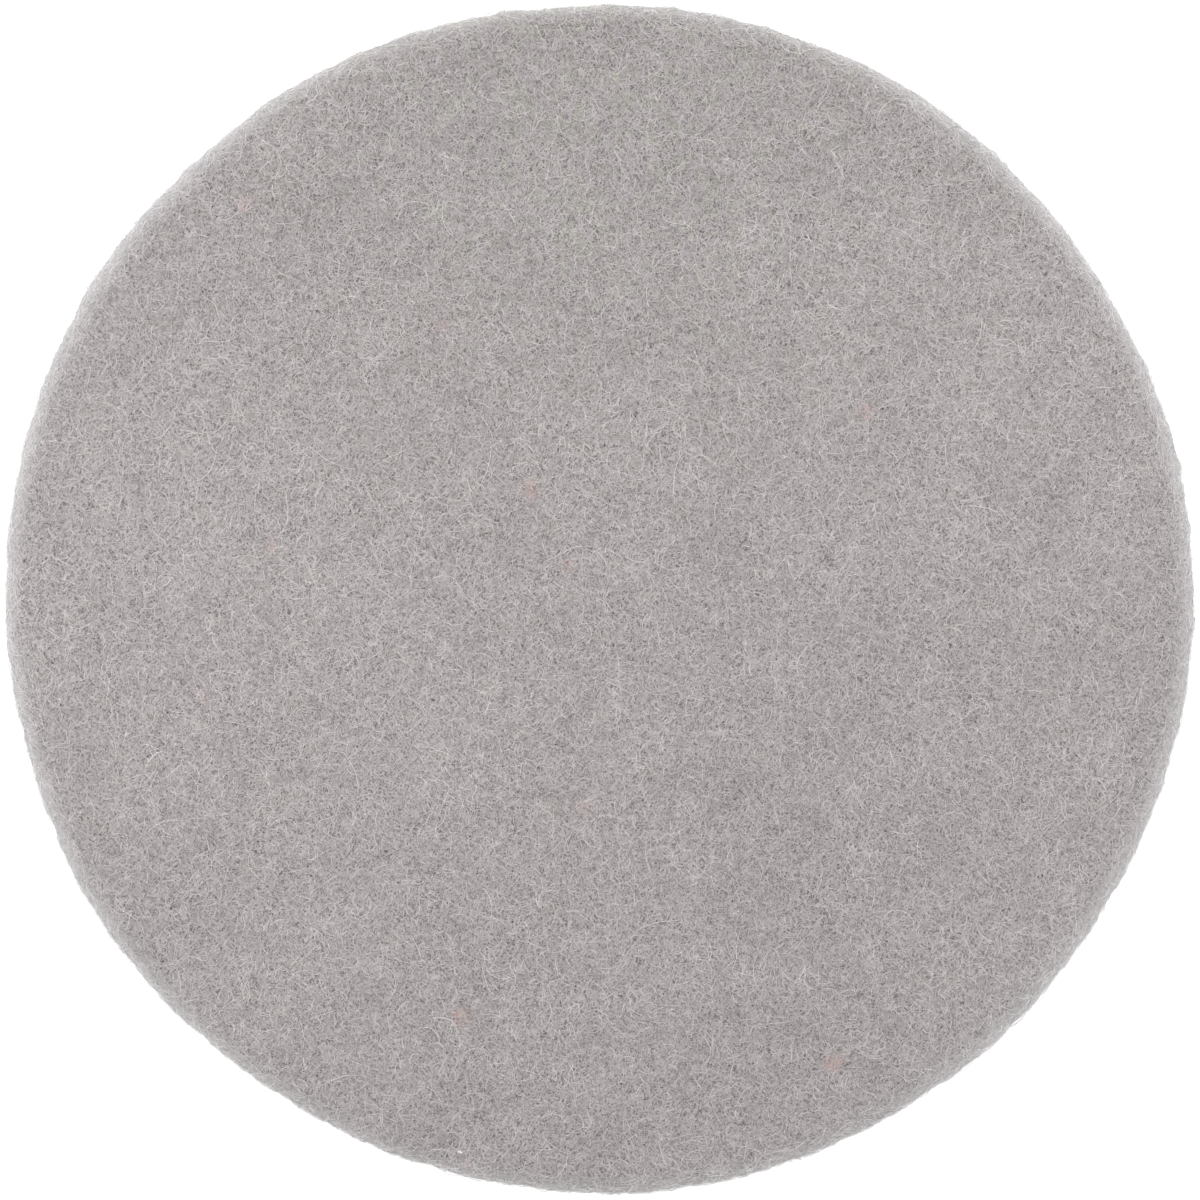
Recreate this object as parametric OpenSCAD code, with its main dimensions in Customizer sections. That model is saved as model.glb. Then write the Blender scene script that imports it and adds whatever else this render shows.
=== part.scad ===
// Felt polishing disc with a loop-cloth back.
// A round pad of matted wool is glued to a knitted cloth whose loops grip a hook-faced backing plate.
// Millimetres. The loops' tips lie on z = 0 and the working face looks along +Z.

/* [Felt disc] */
// Diameter of the felt
disc_d = 150; // [75:5:300]
// Thickness of the felt
felt_t = 10; // [6:0.5:25]
// Radius of the soft edge round the working face
face_edge_r = 3; // [0.5:0.25:4]
// Radius of the soft edge round the back
back_edge_r = 1.5; // [0.5:0.25:1.75]

/* [Glue film] */
// Thickness of the film that bonds the cloth to the felt
glue_t = 0.3; // [0.1:0.05:1]
// How far the film stops short of the cloth's cut edge
glue_inset = 0.5; // [0:0.25:3]

/* [Loop cloth] */
// Width of bare felt between the cloth and the start of the back's soft edge
cloth_margin = 0.5; // [0:0.25:10]
// Thickness of the knitted ground that carries the loops
ground_t = 0.5; // [0.2:0.05:1.5]
// Height of the loops below the ground
pile_h = 1.2; // [0.5:0.1:4]
// How far the loops stop short of the ground's cut edge
pile_inset = 0.4; // [0:0.1:2]

/* [Hidden] */

// Facets round each full circle
round_facets = 180;
edge_facets = 48;

// Radii, from the felt inwards
disc_r = disc_d / 2;
flat_back_r = disc_r - back_edge_r;
cloth_r = flat_back_r - cloth_margin;
glue_r = cloth_r - glue_inset;
pile_r = cloth_r - pile_inset;

// Heights, from the loops' tips upwards
ground_z = pile_h;
glue_z = ground_z + ground_t;
felt_z = glue_z + glue_t;

// Half of the felt's section: three slabs from the axis outwards, and a quarter round at each outer corner
module felt_half_section() {
    square([disc_r - back_edge_r, back_edge_r]);
    translate([0, back_edge_r])
        square([disc_r, felt_t - back_edge_r - face_edge_r]);
    translate([0, felt_t - face_edge_r])
        square([disc_r - face_edge_r, face_edge_r]);
    translate([disc_r - back_edge_r, back_edge_r])
        circle(r = back_edge_r, $fn = edge_facets);
    translate([disc_r - face_edge_r, felt_t - face_edge_r])
        circle(r = face_edge_r, $fn = edge_facets);
}

// A flat round layer of the back, standing on height z
module layer(r, t, z) {
    translate([0, 0, z])
        cylinder(r = r, h = t, $fn = round_facets);
}

// The pad of matted wool, one piece with an unbroken face
module felt_disc() {
    color([0.66, 0.63, 0.62])
        translate([0, 0, felt_z])
            rotate_extrude($fn = round_facets)
                felt_half_section();
}

// The hot-melt film between the felt and the cloth
module glue_film() {
    color([0.86, 0.83, 0.74])
        layer(glue_r, glue_t, glue_z);
}

// The knitted ground of the loop cloth
module loop_ground() {
    color([0.80, 0.79, 0.77])
        layer(cloth_r, ground_t, ground_z);
}

// The room that the loops of the cloth take up
module loop_pile() {
    color([0.88, 0.87, 0.85])
        layer(pile_r, pile_h, 0);
}

felt_disc();
glue_film();
loop_ground();
loop_pile();
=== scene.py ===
# A felt polishing disc: a round pad of matted wool on a loop cloth, seen square-on from above.
# Metres. The wool, the cloth and its loops are made here; the glue film is the frame's own.
import math

import bpy
import numpy as np
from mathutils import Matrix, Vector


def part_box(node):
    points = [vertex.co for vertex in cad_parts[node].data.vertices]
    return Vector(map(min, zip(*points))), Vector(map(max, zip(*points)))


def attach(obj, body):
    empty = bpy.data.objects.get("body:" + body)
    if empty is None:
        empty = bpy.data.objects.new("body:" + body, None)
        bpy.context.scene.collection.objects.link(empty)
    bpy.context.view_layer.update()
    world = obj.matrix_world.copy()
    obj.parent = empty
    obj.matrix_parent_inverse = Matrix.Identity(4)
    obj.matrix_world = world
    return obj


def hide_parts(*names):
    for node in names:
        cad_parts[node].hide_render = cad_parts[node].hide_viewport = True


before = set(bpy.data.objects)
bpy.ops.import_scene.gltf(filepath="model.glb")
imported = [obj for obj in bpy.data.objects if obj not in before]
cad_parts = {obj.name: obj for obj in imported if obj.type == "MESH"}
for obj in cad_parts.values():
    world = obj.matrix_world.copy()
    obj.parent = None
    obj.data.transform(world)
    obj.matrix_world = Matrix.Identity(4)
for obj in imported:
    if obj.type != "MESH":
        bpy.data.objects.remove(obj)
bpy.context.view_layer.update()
mm = 0.001

feltLow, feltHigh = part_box("felt_disc")
clothLow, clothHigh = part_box("loop_ground")
pileLow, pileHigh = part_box("loop_pile")
feltRadius = (feltHigh[0] - feltLow[0]) / 2
faceHeight = feltHigh[2]
backHeight = feltLow[2]
clothRadius = (clothHigh[0] - clothLow[0]) / 2
pileRadius = (pileHigh[0] - pileLow[0]) / 2
print("frame loaded: felt", round(feltRadius * 2 / mm, 1), "mm across")


# Nodes

def operator(operation, reflected=False):
    def act(self, other):
        first, second = (other, self) if reflected else (self, other)
        wires = [side for side in (self, other) if isinstance(side, Wire)]
        isVector = any(wire.socket.type == "VECTOR" for wire in wires)
        combine = self.graph.vector if isVector else self.graph.math
        return combine(operation, first, second)
    return act


class Wire:
    # A socket that can stand in a sum: numbers go through Math, vectors through Vector Math
    def __init__(self, graph, socket):
        self.graph = graph
        self.socket = socket

    __add__ = operator("ADD")
    __radd__ = operator("ADD", reflected=True)
    __sub__ = operator("SUBTRACT")
    __rsub__ = operator("SUBTRACT", reflected=True)
    __mul__ = operator("MULTIPLY")
    __rmul__ = operator("MULTIPLY", reflected=True)
    __truediv__ = operator("DIVIDE")
    __pow__ = operator("POWER")
    __mod__ = operator("MODULO")


def pick(sockets, name):
    # A socket by its name, or by its place among those in use
    used = [s for s in sockets if s.enabled]
    return used[name] if isinstance(name, int) else next(s for s in used if s.name == name)


class Graph:
    def __init__(self, tree):
        self.tree = tree

    def add(self, kind, settings=None, sockets=None, out=0):
        # Settings are the node's own properties, sockets the values or links of its inputs
        node = self.tree.nodes.new(kind)
        for name, value in (settings or {}).items():
            if name == "stops":
                setStops(node.color_ramp, value)
            else:
                setattr(node, name, value)
        for name, value in (sockets or {}).items():
            self.feed(pick(node.inputs, name), value)
        return Wire(self, pick(node.outputs, out)) if len(node.outputs) else None

    def feed(self, socket, value):
        if isinstance(value, Wire):
            self.tree.links.new(value.socket, socket)
        elif socket.type == "RGBA" and not isinstance(value, (int, float)):
            socket.default_value = (*value[:3], 1)
        elif socket.type in ("VECTOR", "RGBA") and isinstance(value, (int, float)):
            socket.default_value = [value] * len(socket.default_value)
        else:
            socket.default_value = value

    def math(self, operation, *values):
        return self.add("ShaderNodeMath", {"operation": operation}, dict(enumerate(values)))

    def vector(self, operation, *values, out="Vector"):
        return self.add("ShaderNodeVectorMath", {"operation": operation}, dict(enumerate(values)), out)

    def size(self, vector):
        return self.vector("LENGTH", vector, out="Value")

    def sin(self, angle):
        return self.math("SINE", angle)

    def cos(self, angle):
        return self.math("COSINE", angle)

    def xyz(self, x, y, z):
        return self.add("ShaderNodeCombineXYZ", None, {0: x, 1: y, 2: z})

    def part(self, vector, name):
        return self.add("ShaderNodeSeparateXYZ", None, {0: vector}, name)

    def smooth(self, value, low, high, start=0.0, end=1.0):
        return self.add("ShaderNodeMapRange", {"interpolation_type": "SMOOTHSTEP"},
                        {"Value": value, "From Min": low, "From Max": high, "To Min": start, "To Max": end})

    def mix(self, factor, a, b, blend="MIX"):
        return self.add("ShaderNodeMix", {"data_type": "RGBA", "blend_type": blend},
                        {"Factor": factor, "A": a, "B": b})

    def noise(self, place, size, detail=2.0, roughness=0.5, out=0):
        return self.add("ShaderNodeTexNoise", None, {
            "Vector": place, "Scale": 1 / size, "Detail": detail, "Roughness": roughness}, out)

    def bump(self, strength, distance, height):
        return self.add("ShaderNodeBump", None, {
            "Strength": strength, "Distance": distance, "Height": height})

    def vary(self, noise, depth):
        # A factor round 1, as far to each side as half the depth
        return (noise - 0.5) * depth + 1

    def store(self, geometry, name, value, kind="FLOAT", domain="POINT"):
        return self.add("GeometryNodeStoreNamedAttribute", {"data_type": kind, "domain": domain},
                        {"Geometry": geometry, "Name": name, "Value": value})

    def paint(self, geometry, material):
        return self.add("GeometryNodeSetMaterial", None, {"Geometry": geometry, "Material": material})

    def give(self, geometry):
        self.add("NodeGroupOutput", None, {0: geometry})


def setStops(ramp, stops):
    while len(ramp.elements) < len(stops):
        ramp.elements.new(1.0)
    for element, (place, colour) in zip(ramp.elements, stops):
        element.position = place
        element.color = (*colour, 1)


def newMaterial(name, constants):
    material = bpy.data.materials.new(name)
    material.use_nodes = True
    graph = Graph(material.node_tree)
    shader = material.node_tree.nodes["Principled BSDF"]
    for label, value in constants.items():
        graph.feed(shader.inputs[label], value)
    place = graph.add("ShaderNodeTexCoord", None, None, "Object")
    return material, graph, shader, place


# Geometry trees

def newTree(name, inputs):
    tree = bpy.data.node_groups.new(name, "GeometryNodeTree")
    kinds = {float: "NodeSocketFloat", int: "NodeSocketInt", bpy.types.Material: "NodeSocketMaterial"}
    tree.interface.new_socket("Geometry", in_out="INPUT", socket_type="NodeSocketGeometry")
    for label, kind in inputs.items():
        tree.interface.new_socket(label, in_out="INPUT", socket_type=kinds[kind])
    tree.interface.new_socket("Geometry", in_out="OUTPUT", socket_type="NodeSocketGeometry")
    graph = Graph(tree)
    source = tree.nodes.new("NodeGroupInput")
    given = {s.name: Wire(graph, s) for s in source.outputs if s.name}
    return graph, given


def runTree(name, graph, mesh, values):
    # The modifier's inputs are set before the first evaluation, and the result is a plain mesh
    obj = bpy.data.objects.new(name, mesh)
    bpy.context.scene.collection.objects.link(obj)
    modifier = obj.modifiers.new("grow", "NODES")
    identifiers = {s.name: s.identifier for s in graph.tree.interface.items_tree if s.in_out == "INPUT"}
    modifier.node_group = graph.tree
    for label, value in values.items():
        modifier[identifiers[label]] = value
    shown = obj.evaluated_get(bpy.context.evaluated_depsgraph_get())
    result = bpy.data.meshes.new_from_object(shown)
    obj.modifiers.clear()
    obj.data = result
    result.name = name
    print(name, len(result.polygons), "faces")
    return obj


# Camera and light

view = {
    "distance": 1.5,                  # from halfway up the felt
    "frameWidth": 151.48 * mm,        # what the view spans at that height
    "across": 0.11 * mm,              # the disc sits a little left of the middle
    "up": -0.35 * mm,                 # and a little high
    "sensor": 36,
}

cameraData = bpy.data.cameras.new("camera")
camera = bpy.data.objects.new("camera", cameraData)
bpy.context.scene.collection.objects.link(camera)
widest = (faceHeight + backHeight) / 2
camera.location = (view["across"], view["up"], widest + view["distance"])
cameraData.sensor_width = view["sensor"]
cameraData.lens = view["sensor"] * view["distance"] / view["frameWidth"]
bpy.context.scene.camera = camera
bpy.context.scene.view_settings.view_transform = "Standard"

studio = {
    "sky": 0.40,                      # light from overhead
    "horizon": 0.95,                  # how much more comes from low down, all round
    "flanks": 0.65,                   # and how much more again from the left and the right
    "boxPlace": (-0.06, 0.32, 0.68),  # a soft box aims at the middle from there
    "boxSide": 0.45,
    "boxPower": 2.6,
    "floorReach": 4.0,                # from the middle to each side
    "floorGlow": 0.62,
    "floorTones": (0.80, 0.824),
    "floorCloud": 0.4,                # size of the faint clouds in the paper
}

world = bpy.data.worlds.new("studio")
bpy.context.scene.world = world
world.use_nodes = True
sky = Graph(world.node_tree)
background = world.node_tree.nodes["Background"]
seen = sky.add("ShaderNodeLightPath", None, None, "Is Camera Ray")
way = sky.add("ShaderNodeTexCoord", None, None, "Generated")
low = 1 - sky.math("ABSOLUTE", sky.part(way, "Z"))
sideways = sky.math("ABSOLUTE", sky.part(way, "X"))
glow = studio["sky"] + low * (studio["horizon"] + sideways * studio["flanks"])
sky.feed(background.inputs["Strength"], glow * (1 - seen) + seen)
sky.feed(background.inputs["Color"], (1, 1, 1))

boxLight = bpy.data.lights.new("soft_box", "AREA")
boxLight.shape = "DISK"
boxLight.size = studio["boxSide"]
boxLight.energy = studio["boxPower"]
softBox = bpy.data.objects.new("soft_box", boxLight)
softBox.location = studio["boxPlace"]
boxX, boxY, boxZ = studio["boxPlace"]
softBox.rotation_euler = (-math.atan2(math.hypot(boxX, boxY), boxZ), 0, -math.atan2(boxX, boxY))
softBox.visible_camera = False
bpy.context.scene.collection.objects.link(softBox)


def paperMaterial():
    material, graph, shader, place = newMaterial("white_paper", {
        "Roughness": 0.9, "Emission Color": (1, 1, 1), "Emission Strength": studio["floorGlow"]})
    first, second = [(tone, tone, tone) for tone in studio["floorTones"]]
    cloud = graph.noise(place, studio["floorCloud"])
    graph.feed(shader.inputs["Base Color"], graph.mix(cloud, first, second))
    return material


half = studio["floorReach"]
corners = [(-half, -half, 0), (half, -half, 0), (half, half, 0), (-half, half, 0)]
floorMesh = bpy.data.meshes.new("floor")
floorMesh.from_pydata(corners, [], [(0, 1, 2, 3)])
floorMesh.materials.append(paperMaterial())
floor = bpy.data.objects.new("floor", floorMesh)
bpy.context.scene.collection.objects.link(floor)
print("camera and light set")


# Wool

wool = {
    # dark is the darkest fibres' colour and, in the mat, the painted shade of its pits
    "dark": (0.092, 0.083, 0.085),
    "mid": (0.334, 0.304, 0.307),
    "midTone": 0.45,
    "pale": (0.635, 0.592, 0.596),
    "fibrePale": (0.89, 0.84, 0.845),
    # the fuzz's pale is whiter than the fibres', partly painted light for the lit rim
    "fuzzPale": (0.91, 0.91, 0.91),
}
clouds = {
    "size": 13 * mm,
    "edges": (0.3, 0.7),
    "depth": 0.03,
    "driftSize": 75 * mm,             # the slow change from paler to darker stretches of the mat
    "driftPlace": (70 * mm, 1310 * mm, 1320 * mm),
    "driftDepth": 0.17,
}
olive = {
    "tint": (0.962, 1.0, 0.92),
    "size": 1.7 * mm,
    "shift": 3.7,                     # keeps the flecks clear of the other patterns
    "edges": (0.44, 0.64),
    "heart": (0 * mm, 65 * mm),       # the flecks lie thickest there
    "reach": 66 * mm,
    "farShare": 0.3,                  # and this share of them is left at that reach
}
# Stray dyed neps, felted in with the grey
neps = {
    "rose": (0.63, 0.38, 0.32),
    "share": 0.9,
    "grain": 0.6 * mm,                # size of the gaps in their ragged outline
    "edges": (0.35, 0.62),
    # Place on the face, reach and strength, in millimetres
    "spots": [
        (29.6, -58.6, 1.8, 0.55), (-17.5, -52.8, 1.8, 0.45), (-44.7, 49.5, 1.4, 0.4),
        (33.7, 23.4, 1.5, 0.45), (-8.7, 13.7, 2.0, 0.4), (-4.1, 4.0, 1.6, 0.3),
        (-41.3, 6.2, 1.3, 0.4), (-17.0, -71.4, 1.2, 0.3), (-19.6, 34.3, 1.3, 0.35),
        (-49.7, -12.6, 1.3, 0.3), (-2.0, -26.4, 1.4, 0.3),
    ],
}
# Painted highlight: the edge fades towards a paler grey for the light its round catches, more so on its
# left and right where the side light falls
rim = {
    "pale": (0.76, 0.76, 0.77),
    "reach": 3.2 * mm,
    "share": 0.28,
    "shareAhead": 0.08,               # on the stretches that face forwards and back
    "turns": (0.3, 0.75),             # shares of the radius, across, between which one becomes the other
}
# One short white end lies in the face
whiteEnd = {
    "colour": (0.95, 0.95, 0.94),
    "place": (-17.5 * mm, -69.8 * mm),
    "turn": math.radians(-29),
    "size": (0.45 * mm, 0.14 * mm),
    "share": 0.95,
}


def addClouds(graph, place, base):
    cloud = graph.noise(place, clouds["size"], detail=3.0, roughness=0.6)
    depth = clouds["depth"]
    base = graph.mix(1.0, base, graph.smooth(cloud, *clouds["edges"], 1 - depth, 1 + depth), "MULTIPLY")
    slow = graph.noise(place + clouds["driftPlace"], clouds["driftSize"], detail=0.0)
    return graph.mix(1.0, base, graph.vary(slow, clouds["driftDepth"]), "MULTIPLY")


def addOlive(graph, place, base):
    fleck = graph.noise(place + olive["shift"], olive["size"], detail=3.0, roughness=0.6)
    fromHeart = graph.size(place - (*olive["heart"], faceHeight))
    rich = graph.smooth(fromHeart, 0.0, olive["reach"], 1.0, olive["farShare"])
    tinted = graph.mix(1.0, base, olive["tint"], "MULTIPLY")
    return graph.mix(graph.smooth(fleck, *olive["edges"]) * rich, base, tinted)


def addNeps(graph, place, base):
    rosy = None
    for x, y, reach, strength in neps["spots"]:
        near = graph.size((place - (x * mm, y * mm, faceHeight)) / (reach * mm))
        spot = graph.smooth(near, 0.1, 1.0, strength, 0.0)
        rosy = spot if rosy is None else graph.math("MAXIMUM", rosy, spot)
    ragged = graph.smooth(graph.noise(place, neps["grain"]), *neps["edges"])
    return graph.mix(rosy * ragged * neps["share"], base, neps["rose"])


def addPaintedRimLight(graph, place, base):
    out = graph.size(place * (1.0, 1.0, 0.0))
    aside = graph.math("ABSOLUTE", graph.part(place, "X"))
    start, end = [turn * feltRadius for turn in rim["turns"]]
    share = graph.smooth(aside, start, end, rim["shareAhead"], rim["share"])
    # painted highlight, growing towards the outer edge
    paintedRimLight = graph.smooth(out, feltRadius - rim["reach"], feltRadius) * share
    return graph.mix(paintedRimLight, base, rim["pale"])


def addWhiteEnd(graph, place, base):
    onEnd = graph.add("ShaderNodeMapping", {"vector_type": "TEXTURE"}, {
        "Vector": place, "Location": (*whiteEnd["place"], faceHeight),
        "Rotation": (0.0, 0.0, whiteEnd["turn"]), "Scale": (*whiteEnd["size"], 1 * mm)})
    white = graph.smooth(graph.size(onEnd), 0.3, 1.0, whiteEnd["share"], 0.0)
    return graph.mix(white, base, whiteEnd["colour"])


def woolColour(graph, place, tone, pale):
    # tone runs from 0, a dark fibre (in the mat also the painted shade of a pit), to 1, a pale one
    stops = [(0.0, wool["dark"]), (wool["midTone"], wool["mid"]), (1.0, pale)]
    colour = graph.add("ShaderNodeValToRGB", {"stops": stops}, {"Fac": tone})
    for layer in (addClouds, addOlive, addNeps, addPaintedRimLight, addWhiteEnd):
        colour = layer(graph, place, colour)
    return colour


def fibreMaterial(name, pale):
    material, graph, shader, place = newMaterial(name, {
        "Roughness": 0.85, "Specular IOR Level": 0.25, "Sheen Weight": 0.7, "Sheen Roughness": 0.3})
    tone = graph.add("ShaderNodeAttribute", {"attribute_name": "tone"}, None, "Fac")
    graph.feed(shader.inputs["Base Color"], woolColour(graph, place, tone, pale))
    return material


# The mat under the loose fibres: layers of buried fibres that cross, each layer heading its own way. The
# dark gaps between the fibres are painted shade for the felt's pits
buried = {
    "layers": 8,
    "long": 1.15 * mm,                # between bends of a fibre
    "wide": 0.25 * mm,                # between neighbouring fibres of a layer
    "shift": (7.3 * mm, 5.1 * mm),    # from layer to layer, so that no two are alike
    "extraTurn": 11,                  # degrees that two layers in three are off an even spread
    "warp": 0.58 * mm,                # how far the layers are bent, over warpSize
    "warpSize": 2.0 * mm,
    "girth": 0.06,                    # share of the way to the next fibre that one covers
    "faintest": 0.72,                 # level of the deepest layer's fibres, against 1
    "contrast": 0.82,                 # of the fibres against the painted shade in the gaps between them
    "bumpStrength": 0.7,
    "bumpDepth": 0.06 * mm,
}


def buriedLayer(graph, bent, k):
    count = buried["layers"]
    shiftX, shiftY = buried["shift"]
    turn = math.radians(k * 180 / count + buried["extraTurn"] * (k % 3))
    turned = graph.add("ShaderNodeMapping", {"vector_type": "TEXTURE"}, {
        "Vector": bent, "Location": (k * shiftX, k * shiftY, 0.0), "Rotation": (0.0, 0.0, turn),
        "Scale": (buried["long"], buried["wide"], buried["wide"])})
    level = buried["faintest"] + (1 - buried["faintest"]) * (k * 5 % count) / count
    offCrest = graph.math("ABSOLUTE", graph.noise(turned, 1.0, detail=0.0) - 0.5)
    # off a fibre the tone falls to 0, which paints the gap in shade
    return graph.smooth(offCrest, 0.0, buried["girth"], level, 0.0)


def matMaterial():
    material, graph, shader, place = newMaterial("matted_wool", {
        "Roughness": 0.95, "Specular IOR Level": 0.2, "Sheen Weight": 0.7, "Sheen Roughness": 0.3})
    warp = graph.noise(place, buried["warpSize"], detail=1.0, out="Color")
    bent = place + (warp - 0.5) * buried["warp"]
    tone = buriedLayer(graph, bent, 0)
    for k in range(1, buried["layers"]):
        tone = graph.math("MAXIMUM", tone, buriedLayer(graph, bent, k))
    colour = woolColour(graph, place, tone * buried["contrast"], wool["pale"])
    graph.feed(shader.inputs["Base Color"], colour)
    graph.feed(shader.inputs["Normal"], graph.bump(buried["bumpStrength"], buried["bumpDepth"], tone))
    return material


# Round meshes

# The hand-cut outline as waves round the rim: how many, their size in millimetres and their turn in degrees
outline = [
    (2, 0.10, 100), (3, 0.12, 250), (5, 0.10, 20), (7, 0.09, 300), (11, 0.08, 160),
    (17, 0.05, 70), (29, 0.035, 10), (43, 0.06, 80), (71, 0.055, 200), (113, 0.045, 330),
]
# The baking map is the disc rolled out flat from its middle, with the closing fan small in a corner
rolled = {
    "reach": 0.49,
    "fanMiddle": 0.93,
    "fanSize": 0.12,
}


def rimOffset(angle):
    return sum(size * mm * np.cos(count * angle + math.radians(turn)) for count, size, turn in outline)


def rollOut(mesh, run, angles, travelled, firstFan):
    corner = np.zeros(len(mesh.loops), dtype=int)
    mesh.loops.foreach_get("vertex_index", corner)
    far = np.array(run)[corner] / travelled * rolled["reach"]
    around = np.array(angles)[corner]
    flat = np.stack([0.5 + far * np.cos(around), 0.5 + far * np.sin(around)], 1)
    fan = slice(mesh.polygons[firstFan].loop_start, None)
    flat[fan] = rolled["fanMiddle"] + (flat[fan] - 0.5) * rolled["fanSize"]
    mesh.uv_layers.new(name="OFBake").data.foreach_set("uv", flat.ravel())


def ringMesh(name, steps, profile, looksDown=False):
    # Rings with 6, 12, 18 ... points, then rings of equal count along the profile, then a closing fan
    sectors = 6
    places = [(0.0, 0.0, profile[0][1])]
    run = [0.0]
    angles = [0.0]
    faces = []
    step = profile[0][0] / steps

    def ring(count, radius, height, travelled):
        start = len(places)
        for angle in np.arange(count) * 2 * math.pi / count:
            reach = radius + rimOffset(angle) * (radius / feltRadius) ** 2
            places.append((reach * math.cos(angle), reach * math.sin(angle), height))
            run.append(travelled)
            angles.append(angle)
        return start

    inner = 0
    for k in range(1, steps + 1):
        outer = ring(sectors * k, step * k, profile[0][1], step * k)
        core = max(sectors * (k - 1), 1)
        for sector in range(sectors):
            for j in range(k):
                a = outer + sector * k + j
                b = outer + (sector * k + j + 1) % (sectors * k)
                c = inner + (sector * (k - 1) + j) % core
                faces.append((c, a, b))
                if j < k - 1:
                    faces.append((c, b, inner + (sector * (k - 1) + j + 1) % core))
        inner = outer
    count = sectors * steps
    travelled = profile[0][0]
    for before, (radius, height) in zip(profile, profile[1:]):
        travelled += math.dist(before, (radius, height))
        outer = ring(count, radius, height, travelled)
        for j in range(count):
            after = (j + 1) % count
            faces.append((inner + j, outer + j, outer + after, inner + after))
        inner = outer
    firstFan = len(faces)
    last = len(places)
    places.append((0.0, 0.0, profile[-1][1]))
    run.append(0.0)
    angles.append(0.0)
    faces.extend((last, inner + (j + 1) % count, inner + j) for j in range(count))
    if looksDown:
        faces = [face[::-1] for face in faces]
    mesh = bpy.data.meshes.new(name)
    mesh.from_pydata(places, [], faces)
    mesh.polygons.foreach_set("use_smooth", [True] * len(mesh.polygons))
    rollOut(mesh, run, angles, travelled, firstFan)
    return mesh


# The felt pad

pad = {
    "ringStep": 0.62 * mm,            # spacing of the mesh on the face
    "faceEdge": 3.0 * mm,             # soft round of the face's edge
    "faceEdgeSteps": 9,
    "backEdge": 1.5 * mm,
    "backEdgeSteps": 5,
    "wallSteps": 8,
    "backRim": 2 * mm,                # ring of the back that is meshed before the closing fan
    "bulge": 0.35 * mm,               # how far the wall stands out at mid-height
    "underNap": 0.18 * mm,            # the mat stops this short of the wall's fuzz
    # Size and depth of the lumps, which stop short of the glued back
    "lumps": [(26 * mm, 0.10 * mm), (9 * mm, 0.035 * mm), (2.6 * mm, 0.02 * mm)],
    "stillBelow": 0.4 * mm,
    "lumpsWhole": 1.5 * mm,           # and are at their full depth this far above that
}


def padProfile():
    # (radius, height) from the edge of the flat face, over the round, down the wall and under to the back
    points = []
    edge, back = pad["faceEdge"], pad["backEdge"]
    wallTop, wallLow = faceHeight - edge, backHeight + back

    def wallRadius(height):
        part = (height - backHeight) / (faceHeight - backHeight)
        return feltRadius - pad["underNap"] - pad["bulge"] * (2 * part - 1) ** 2

    for k in range(pad["faceEdgeSteps"] + 1):
        angle = math.radians(90 - 90 * k / pad["faceEdgeSteps"])
        out, up = edge * math.cos(angle), edge * math.sin(angle)
        points.append((wallRadius(wallTop) - edge + out, wallTop + up))
    for k in range(1, pad["wallSteps"] + 1):
        height = wallTop + (wallLow - wallTop) * k / pad["wallSteps"]
        points.append((wallRadius(height), height))
    for k in range(1, pad["backEdgeSteps"] + 1):
        angle = math.radians(90 * k / pad["backEdgeSteps"])
        out, down = back * math.cos(angle), back * math.sin(angle)
        points.append((wallRadius(wallLow) - back + out, wallLow - down))
    points.append((points[-1][0] - pad["backRim"], backHeight))
    return points


def reliefTree():
    graph, given = newTree("soft_relief", {"Still below": float, "Material": bpy.types.Material})
    place = graph.add("GeometryNodeInputPosition")
    normal = graph.add("GeometryNodeInputNormal")
    lift = 0.0
    for size, depth in pad["lumps"]:
        lift = lift + (graph.noise(place, size, detail=1.0) - 0.5) * (2 * depth)
    still = given["Still below"]
    lift = lift * graph.smooth(graph.part(place, "Z"), still, still + pad["lumpsWhole"])
    moved = graph.add("GeometryNodeSetPosition", None, {
        "Geometry": given["Geometry"], "Offset": normal * lift})
    graph.give(graph.paint(moved, given["Material"]))
    return graph


profile = padProfile()
steps = round(profile[0][0] / pad["ringStep"])
feltPad = runTree("felt_pad", reliefTree(), ringMesh("felt_pad", steps, profile), {
    "Still below": backHeight + pad["stillBelow"], "Material": matMaterial()})


# Threads as thin tubes

tube = {
    "sides": 3,
    "taper": 0.65,                    # how much thinner the two ends are
    # Each tube has its own small cell on the baking map: where it starts there, and how much it takes up
    "cellAlong": (0.15, 0.7),
    "cellAround": (0.2, 0.9),
}


def strands(graph, each):
    # Every strand has the same number of points, and along runs from 0 to 1 on it
    index = graph.add("GeometryNodeInputIndex")
    strand = graph.math("FLOOR", (index + 0.5) / each)
    along = ((index + 0.0) % each) / (each - 1)
    return strand, along


def chances(graph, seed, owner):
    # Each call is a new random number for each strand
    mostCalls = 50
    salt = iter(range(1, mostCalls))

    def chance(low, high):
        return graph.add("FunctionNodeRandomValue", {"data_type": "FLOAT"}, {
            "Min": low, "Max": high, "ID": owner, "Seed": seed * mostCalls + next(salt)})
    return chance


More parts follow.
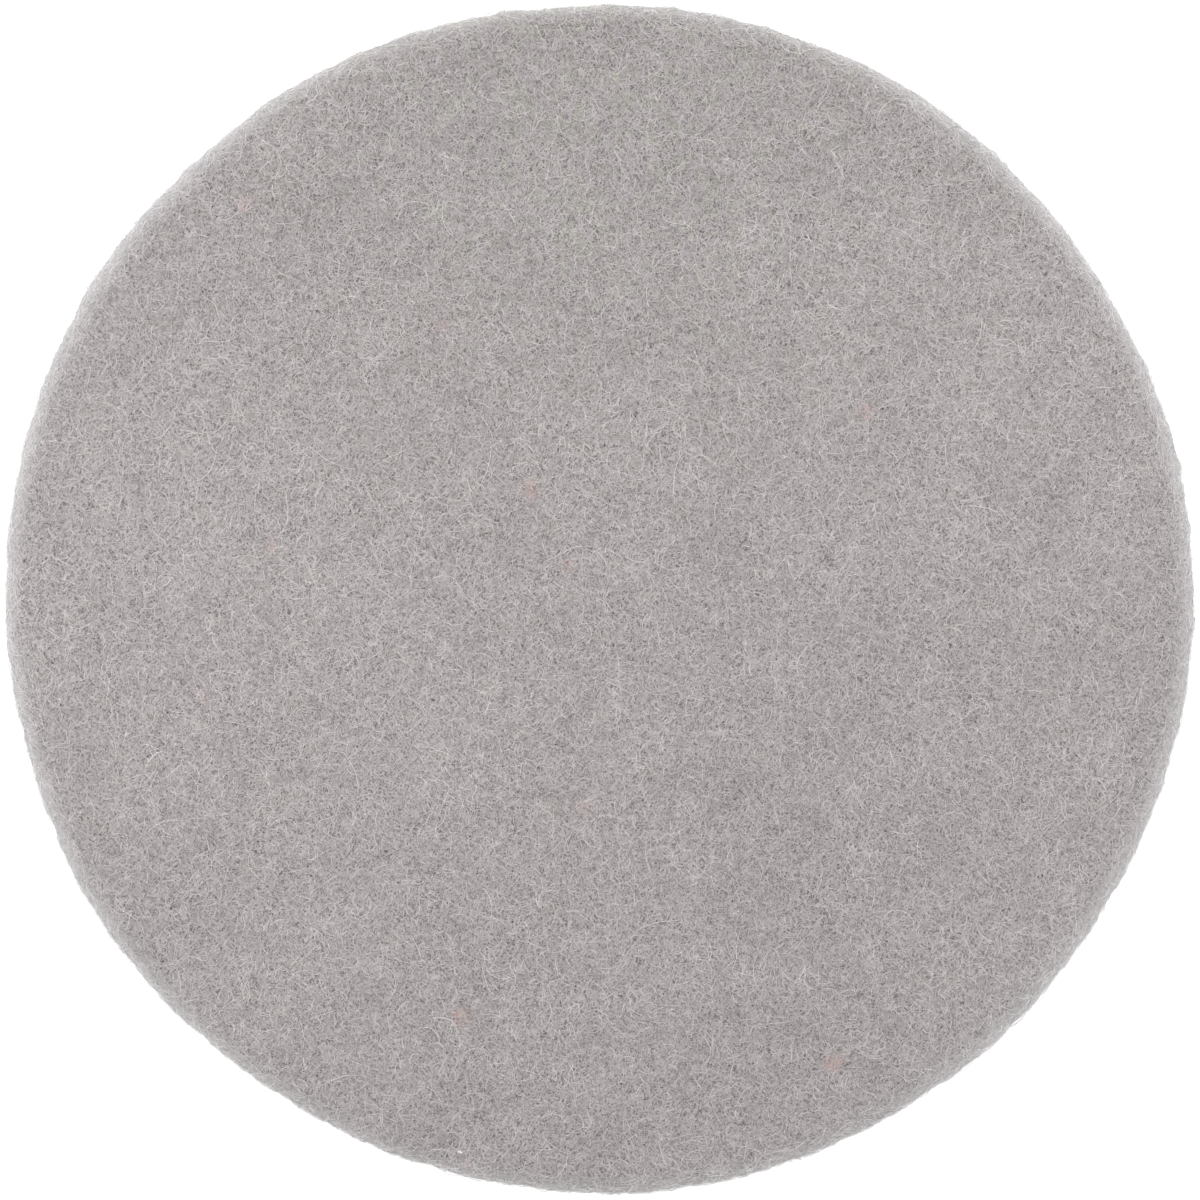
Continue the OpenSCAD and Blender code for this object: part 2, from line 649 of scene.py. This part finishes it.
def tubesFrom(graph, given, cloud, strand, along, count):
    # Points become curves and then thin tubes
    grid = graph.math("FLOOR", graph.math("SQRT", count)) + 1
    column = strand % grid
    row = graph.math("FLOOR", (strand + 0.5) / grid)
    for label, value in (("column", column), ("row", row), ("along", along), ("grid", grid)):
        cloud = graph.store(cloud, label, value)
    curves = graph.add("GeometryNodePointsToCurves", None, {
        "Points": cloud, "Curve Group ID": strand, "Weight": along})
    read = {label: graph.add("GeometryNodeInputNamedAttribute", {"data_type": "FLOAT"}, {"Name": label})
            for label in ("column", "row", "along", "grid", "turn")}
    middle = read["along"] * 2 - 1
    taper = 1 - tube["taper"] * middle * middle * middle * middle
    section = graph.add("GeometryNodeCurvePrimitiveCircle", None, {
        "Resolution": tube["sides"], "Radius": 1.0})
    section = graph.store(section, "turn", graph.add("GeometryNodeSplineParameter", None, None, "Factor"))
    tubes = graph.add("GeometryNodeCurveToMesh", None, {
        "Curve": curves, "Profile Curve": section, "Scale": taper * given["Thickness"] * 0.5,
        "Fill Caps": True})
    startAlong, shareAlong = tube["cellAlong"]
    startAround, shareAround = tube["cellAround"]
    cell = graph.xyz((read["column"] + startAlong + read["along"] * shareAlong) / read["grid"],
                     (read["row"] + startAround + read["turn"] * shareAround) / read["grid"], 0.0)
    tubes = graph.store(tubes, "OFBake", cell, "FLOAT2", "CORNER")
    tubes = graph.add("GeometryNodeSetShadeSmooth", None, {"Geometry": tubes})
    whole = graph.add("GeometryNodeRealizeInstances", None, {"Geometry": tubes})
    return graph.paint(whole, given["Material"])


# The wool's loose fibres

nap = {
    "faceSheets": 4,                  # the face's fibres are this many pieces
    "faceCount": 6200,                # fibres in each
    "edgeCount": 4600,
    "wallCount": 4600,
    "strayCount": 900,
    "fuzzCount": 9600,
    "thickness": 0.066 * mm,
    "bends": (0.15, 1.0),             # share of the full curl that one fibre has
    "swells": (3.0, 9.0),             # radians of the slow wave along one fibre
    "ripples": (4.0, 11.0),           # and of its rise and fall
    "phases": (0.0, 6.28),            # where along its wave a fibre starts
    "rises": (0.15, 1.0),             # share of the full rise
    "rippleShare": 0.5,               # of the thickness
}


def fibreTree():
    graph, given = newTree("lay_fibres", {
        "Count": int, "Seed": int, "Points each": int,
        "Inner radius": float, "Outer radius": float, "Low": float, "High": float,
        "Spread": float, "Shortest": float, "Longest": float, "Curl": float, "Wave": float,
        "Sink": float, "Rise": float, "Loose ends": float, "Thickness": float,
        "Darkest": float, "Palest": float, "Rarity": float, "Material": bpy.types.Material})
    each = given["Points each"]
    fibre, along = strands(graph, each)
    chance = chances(graph, given["Seed"], fibre)

    # Where the fibre lies, and which way it heads
    inner, outer = given["Inner radius"], given["Outer radius"]
    angle = chance(0.0, 2 * math.pi)
    radius = graph.math("SQRT", chance(0.0, 1.0) * (outer * outer - inner * inner) + inner * inner)
    level = chance(given["Low"], given["High"])
    start = graph.xyz(radius * graph.cos(angle), radius * graph.sin(angle), level)
    around = graph.xyz(0 - graph.sin(angle), graph.cos(angle), 0.0)
    normals = graph.add("GeometryNodeInputNormal")

    def onPad(point):
        spot = graph.add("GeometryNodeProximity", {"target_element": "FACES"},
                         {"Geometry": given["Geometry"], "Sample Position": point}, "Position")
        facing = graph.add("GeometryNodeSampleNearestSurface", {"data_type": "FLOAT_VECTOR"}, {
            "Mesh": given["Geometry"], "Value": normals, "Sample Position": point})
        return spot, facing

    root, normal = onPad(start)
    side = graph.vector("NORMALIZE", graph.vector("CROSS_PRODUCT", normal, around))
    ahead = graph.vector("NORMALIZE", graph.vector("CROSS_PRODUCT", side, normal))
    heading = chance(0 - given["Spread"], given["Spread"])
    forward = ahead * graph.cos(heading) + side * graph.sin(heading)
    left = graph.vector("CROSS_PRODUCT", normal, forward)

    # An arc with a slow wave in it, pressed onto the pad
    reach = chance(given["Shortest"], given["Longest"])
    bend = chance(*nap["bends"]) * given["Curl"]
    bend = bend * (graph.math("GREATER_THAN", chance(0.0, 1.0), 0.5) * 2 - 1)
    run = (along - 0.5) * reach
    wave = graph.sin(along * chance(*nap["swells"]) + chance(*nap["phases"])) * given["Wave"]
    stride = graph.sin(run * bend) / bend
    swerve = (1 - graph.cos(run * bend)) / bend + wave
    spot, facing = onPad(root + forward * stride + left * swerve)

    # Its rise above the pad: an arch with both ends down, or one with a loose end
    arch = graph.sin(along * math.pi)
    arch = arch + (along * along - arch) * given["Loose ends"]
    height = chance(*nap["rises"]) * given["Rise"] * arch - given["Sink"]
    ripple = graph.sin(along * chance(*nap["ripples"]) + chance(*nap["phases"]))
    height = height + ripple * given["Thickness"] * nap["rippleShare"]
    cloud = graph.add("GeometryNodePoints", None, {
        "Count": given["Count"] * each, "Position": spot + facing * height})
    tone = chance(0.0, 1.0) ** given["Rarity"] * (given["Palest"] - given["Darkest"]) + given["Darkest"]
    cloud = graph.store(cloud, "tone", tone)
    graph.give(tubesFrom(graph, given, cloud, fibre, along, given["Count"]))
    return graph


woolFibres = fibreMaterial("wool_fibres", wool["fibrePale"])
woolFuzz = fibreMaterial("wool_fuzz", wool["fuzzPale"])
faceFibres = {
    "Count": nap["faceCount"], "Seed": 1, "Points each": 6,
    "Inner radius": 0.0, "Outer radius": feltRadius - 2.0 * mm,
    "Low": faceHeight + 0.5 * mm, "High": faceHeight + 0.5 * mm,
    "Spread": math.pi, "Shortest": 2.0 * mm, "Longest": 6.2 * mm, "Curl": 800.0, "Wave": 0.2 * mm,
    "Sink": 0.02 * mm, "Rise": 0.04 * mm, "Loose ends": 0.0, "Thickness": nap["thickness"],
    "Darkest": 0.54, "Palest": 1.0, "Rarity": 1.5, "Material": woolFibres,
}
# What each sheet of fibres changes in those values
sheets = {f"face_fibres_{k + 1}": {"Seed": k + 1} for k in range(nap["faceSheets"])}
# The edge fibres start a little paler than the face's: painted light on the rim
sheets["edge_fibres"] = {
    "Count": nap["edgeCount"], "Seed": 20, "Spread": 1.7, "Curl": 400.0, "Darkest": 0.6, "Rarity": 1.7,
    "Inner radius": feltRadius - 2.6 * mm, "Outer radius": feltRadius + 1.0 * mm,
    "Low": faceHeight - 3.5 * mm, "High": faceHeight + 0.8 * mm, "Longest": 5.5 * mm,
}
sheets["wall_fibres"] = {
    "Count": nap["wallCount"], "Seed": 30, "Spread": 1.1, "Curl": 260.0,
    "Inner radius": feltRadius + 0.5 * mm, "Outer radius": feltRadius + 0.6 * mm,
    "Low": backHeight - 0.2 * mm, "High": faceHeight - 2.5 * mm,
}
sheets["stray_fibres"] = {
    "Count": nap["strayCount"], "Seed": 40, "Points each": 8, "Curl": 500.0, "Darkest": 0.4,
    "Outer radius": feltRadius, "Low": backHeight + 2 * mm, "High": faceHeight + 0.5 * mm,
    "Rise": 0.6 * mm, "Thickness": 0.07 * mm, "Longest": 8.0 * mm,
}
# The fuzz is wool kept near white, partly painted light for the light it catches and lets through at the
# rim
sheets["rim_fuzz"] = {
    "Count": nap["fuzzCount"], "Seed": 50, "Points each": 4, "Darkest": 0.9, "Rarity": 1.0,
    "Inner radius": feltRadius - 0.5 * mm, "Outer radius": feltRadius + 1.0 * mm,
    "Low": backHeight, "High": faceHeight + 0.2 * mm, "Shortest": 0.7 * mm, "Longest": 2.4 * mm,
    "Rise": 0.55 * mm, "Loose ends": 0.6, "Thickness": 0.055 * mm, "Material": woolFuzz,
}
fibres = fibreTree()
woolPieces = [feltPad]
for name, changes in sheets.items():
    woolPieces.append(runTree(name, fibres, feltPad.data, {**faceFibres, **changes}))


# The loop cloth on the back

cloth = {
    "ringStep": 1.4 * mm,
    "edgeAcross": 0.15 * mm,          # the cut edge is rounded this far inwards
    "edgeUp": 0.12 * mm,              # and this far up
    "gluedRim": 1.5 * mm,             # ring of the glued side that is meshed before the closing fan
    "cutWaver": 0.12 * mm,
    "waverSize": 4 * mm,
    "waverReach": 3 * mm,             # how far in from the edge it starts
    "wale": 0.9 * mm,                 # spacing of the knitted columns
    "course": 0.7 * mm,               # and of the stitches along them
    "stagger": 0.6,                   # radians that a stitch bends round its column
    "ribShare": 0.45,                 # height of a column between its stitches
    "edges": (0.1, 0.75),             # heights where the gap ends and the crown begins
    "pull": 1.2 * mm,                 # how far the columns stray, over pullSize
    "pullSize": 9 * mm,
    "yarn": 0.15 * mm,
    "yarnDepth": 0.5,
    "ground": (0.62, 0.60, 0.57),
    # the gap colour is painted shade in the recesses of the knit
    "gapShade": (0.30, 0.29, 0.275),
    "bumpStrength": 0.9,
    "bumpDepth": 0.2 * mm,
}


def knitMaterial():
    # Columns of stitches: small rounded lozenges with dark gaps between them; the dark is painted shade,
    # deepest where the stitch is lowest
    material, graph, shader, place = newMaterial("knitted_ground", {"Roughness": 0.8, "Sheen Weight": 0.15})
    bent = place + (graph.noise(place, cloth["pullSize"], out="Color") - 0.5) * cloth["pull"]
    across = graph.part(bent, "X") / cloth["wale"] * math.pi
    down = graph.part(bent, "Y") / cloth["course"] * math.pi
    rib = graph.math("ABSOLUTE", graph.sin(across))
    stitch = graph.math("ABSOLUTE", graph.sin(down + graph.cos(across * 2) * cloth["stagger"]))
    height = graph.smooth(rib * (cloth["ribShare"] + (1 - cloth["ribShare"]) * stitch), *cloth["edges"])
    tone = height * graph.vary(graph.noise(place, cloth["yarn"], detail=3.0), cloth["yarnDepth"])
    # painted shade: the yarn's colour darkens towards the gap colour as the stitch's height falls
    colour = graph.mix(graph.math("MINIMUM", 1.0, tone), cloth["gapShade"], cloth["ground"])
    graph.feed(shader.inputs["Base Color"], colour)
    graph.feed(shader.inputs["Normal"], graph.bump(cloth["bumpStrength"], cloth["bumpDepth"], tone))
    return material


def clothTree():
    graph, given = newTree("cut_cloth", {
        "Radius": float, "Waver": float, "Material": bpy.types.Material})
    place = graph.add("GeometryNodeInputPosition")
    level = place * (1.0, 1.0, 0.0)
    waver = (graph.noise(place, cloth["waverSize"], detail=3.0) - 0.5) * given["Waver"] * 2
    waver = waver * graph.smooth(graph.size(level), given["Radius"] - cloth["waverReach"], given["Radius"])
    moved = graph.add("GeometryNodeSetPosition", None, {
        "Geometry": given["Geometry"], "Offset": graph.vector("NORMALIZE", level) * waver})
    graph.give(graph.paint(moved, given["Material"]))
    return graph


def clothProfile():
    # (radius, height) from the loop side, round the cut edge to the glued side
    lower, upper = clothLow[2], clothHigh[2]
    inner = clothRadius - cloth["edgeAcross"]
    return [(inner, lower), (clothRadius, lower + cloth["edgeUp"]), (clothRadius, upper - cloth["edgeUp"]),
            (inner, upper), (clothRadius - cloth["gluedRim"], upper)]


# The loops

loops = {
    "sheets": 3,
    "firstSeed": 60,
    "spacing": 0.93 * mm,             # between neighbouring loops of a row
    "rowPitch": 0.866,                # rows lie this much closer, as their loops are staggered
    "rowsPerColumn": 1.155,           # so there are this many rows to a column
    "middleRow": 0.577,               # and half as many lie before the middle
    "jitter": 0.35 * mm,
    "points": 5,
    "wide": 0.9 * mm,                 # between a loop's feet
    "widths": (0.6, 1.25),            # share of that which one loop has
    "lean": 0.5 * mm,                 # how far a tip hangs to one side
    "depths": (0.55, 1.0),            # share of the pile's depth that one loop reaches
    "roundness": 0.8,
    "rimGap": 0.5 * mm,
    "rooted": 0.05 * mm,              # the feet start this far inside the cloth
    "thickness": 0.11 * mm,
    "tones": (0.2, 1.0),
    "pale": (0.86, 0.84, 0.80),
    "dull": (0.62, 0.60, 0.565),
    "dust": 6 * mm,                   # size of its soiled patches
    "dustDepth": 0.8,
}


def loopMaterial():
    material, graph, shader, place = newMaterial("brushed_nylon", {"Roughness": 0.45, "Sheen Weight": 0.1})
    tone = graph.add("ShaderNodeAttribute", {"attribute_name": "tone"}, None, "Fac")
    dust = graph.noise(place, loops["dust"], detail=3.0)
    colour = graph.mix(tone * graph.vary(dust, loops["dustDepth"]), loops["dull"], loops["pale"])
    graph.feed(shader.inputs["Base Color"], colour)
    return material


def loopTree():
    # Arches on a staggered grid, from the cloth's underside down to the tips and back
    graph, given = newTree("knit_loops", {
        "Columns": int, "Seed": int, "Points each": int, "Sheets": int, "Sheet": int,
        "Spacing": float, "Jitter": float, "Radius": float, "Top": float, "Depth": float,
        "Wide": float, "Lean": float, "Thickness": float, "Material": bpy.types.Material})
    each = given["Points each"]
    loop, along = strands(graph, each)
    chance = chances(graph, given["Seed"], loop)
    place = loop * given["Sheets"] + given["Sheet"]
    columns = given["Columns"]
    row = graph.math("FLOOR", (place + 0.5) / columns)
    column = (place + 0.0) % columns + (row % 2) * 0.5
    x = (column - columns * 0.5) * given["Spacing"] + chance(-1.0, 1.0) * given["Jitter"]
    fromMiddle = row - columns * loops["middleRow"]
    y = fromMiddle * given["Spacing"] * loops["rowPitch"] + chance(-1.0, 1.0) * given["Jitter"]
    heading = chance(0.0, 2 * math.pi)
    run = graph.cos(along * math.pi) * given["Wide"] * 0.5 * chance(*loops["widths"])
    sway = graph.sin(along * math.pi)
    lean = sway * sway * given["Lean"]
    rise = graph.math("POWER", sway, loops["roundness"]) * chance(*loops["depths"])
    spot = graph.xyz(x + graph.cos(heading) * run + chance(-1.0, 1.0) * lean,
                     y + graph.sin(heading) * run + chance(-1.0, 1.0) * lean,
                     given["Top"] - rise * given["Depth"])
    count = graph.math("FLOOR", columns * columns * loops["rowsPerColumn"] / given["Sheets"])
    cloud = graph.add("GeometryNodePoints", None, {"Count": count * each, "Position": spot})
    cloud = graph.store(cloud, "tone", chance(*loops["tones"]))
    outside = graph.math("GREATER_THAN", graph.size(graph.xyz(x, y, 0.0)), given["Radius"])
    cloud = graph.add("GeometryNodeDeleteGeometry", {"domain": "POINT"}, {
        "Geometry": cloud, "Selection": outside})
    graph.give(tubesFrom(graph, given, cloud, loop, along, columns * columns))
    return graph


# Frayed ends round the cloth's cut edge

threads = {
    "count": 620,
    "seed": 70,
    "points": 5,
    "longest": 1.3 * mm,
    "lengths": (0.3, 1.0),            # share of that which one end has
    "rooted": 0.2 * mm,               # the ends start this far inside the cloth
    "heights": (0.1, 0.9),            # share of the cloth's thickness at which one starts
    "droops": (0.0, 0.4),             # share of its length that it hangs down
    "thickness": 0.08 * mm,
    "tones": (0.3, 1.0),
}


def threadTree():
    graph, given = newTree("fray_edge", {
        "Count": int, "Seed": int, "Points each": int, "Radius": float, "Height": float, "Depth": float,
        "Longest": float, "Thickness": float, "Material": bpy.types.Material})
    each = given["Points each"]
    thread, along = strands(graph, each)
    chance = chances(graph, given["Seed"], thread)
    angle = chance(0.0, 2 * math.pi)
    reach = given["Longest"] * chance(*threads["lengths"]) * along
    swing = chance(-1.0, 1.0) * reach * (0.5 + along)
    out = given["Radius"] - threads["rooted"] + reach
    height = given["Height"] + chance(*threads["heights"]) * given["Depth"]
    spot = graph.xyz(out * graph.cos(angle) - swing * graph.sin(angle),
                     out * graph.sin(angle) + swing * graph.cos(angle),
                     height - chance(*threads["droops"]) * reach * along)
    cloud = graph.add("GeometryNodePoints", None, {"Count": given["Count"] * each, "Position": spot})
    cloud = graph.store(cloud, "tone", chance(*threads["tones"]))
    graph.give(tubesFrom(graph, given, cloud, thread, along, given["Count"]))
    return graph


clothMesh = ringMesh("loop_cloth", round(clothRadius / cloth["ringStep"]), clothProfile(), looksDown=True)
loopCloth = runTree("loop_cloth", clothTree(), clothMesh, {
    "Radius": clothRadius, "Waver": cloth["cutWaver"], "Material": knitMaterial()})

nylon = loopMaterial()
loopGraph = loopTree()
pilePieces = []
for k in range(loops["sheets"]):
    name = f"back_loops_{k + 1}"
    pilePieces.append(runTree(name, loopGraph, bpy.data.meshes.new(name), {
        "Columns": math.ceil(2 * pileRadius / loops["spacing"]) + 1, "Seed": loops["firstSeed"] + k,
        "Points each": loops["points"], "Sheets": loops["sheets"], "Sheet": k,
        "Spacing": loops["spacing"], "Jitter": loops["jitter"], "Radius": pileRadius - loops["rimGap"],
        "Top": pileHigh[2] + loops["rooted"], "Depth": pileHigh[2] - pileLow[2], "Wide": loops["wide"],
        "Lean": loops["lean"], "Thickness": loops["thickness"], "Material": nylon}))
cutThreads = runTree("cut_threads", threadTree(), bpy.data.meshes.new("cut_threads"), {
    "Count": threads["count"], "Seed": threads["seed"], "Points each": threads["points"],
    "Radius": clothRadius, "Height": clothLow[2], "Depth": clothHigh[2] - clothLow[2],
    "Longest": threads["longest"], "Thickness": threads["thickness"], "Material": nylon})


# The glue between the cloth and the felt

glue = {
    "thin": (0.58, 0.52, 0.38),
    "thick": (0.74, 0.69, 0.56),
    "flow": 3.5 * mm,                 # size of its thicker patches
    "edges": (0.3, 0.7),
    "roughness": (0.28, 0.5),
    "dimple": 0.9 * mm,
    "bumpStrength": 0.5,
    "bumpDepth": 0.06 * mm,
}


def glueMaterial():
    material, graph, shader, place = newMaterial("hot_melt", {})
    flow = graph.noise(place, glue["flow"], detail=3.0)
    graph.feed(shader.inputs["Base Color"], graph.mix(flow, glue["thin"], glue["thick"]))
    graph.feed(shader.inputs["Roughness"], graph.smooth(flow, *glue["edges"], *glue["roughness"]))
    dimples = graph.noise(place, glue["dimple"])
    graph.feed(shader.inputs["Normal"], graph.bump(glue["bumpStrength"], glue["bumpDepth"], dimples))
    return material


hotMelt = glueMaterial()
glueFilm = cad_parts["glue_film"]
for slot in glueFilm.material_slots:
    slot.material = hotMelt
print("glue film coloured")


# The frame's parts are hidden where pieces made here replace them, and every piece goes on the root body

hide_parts("felt_disc")
for piece in woolPieces:
    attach(piece, "root")
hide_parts("loop_ground")
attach(loopCloth, "root")
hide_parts("loop_pile")
for piece in (*pilePieces, cutThreads):
    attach(piece, "root")
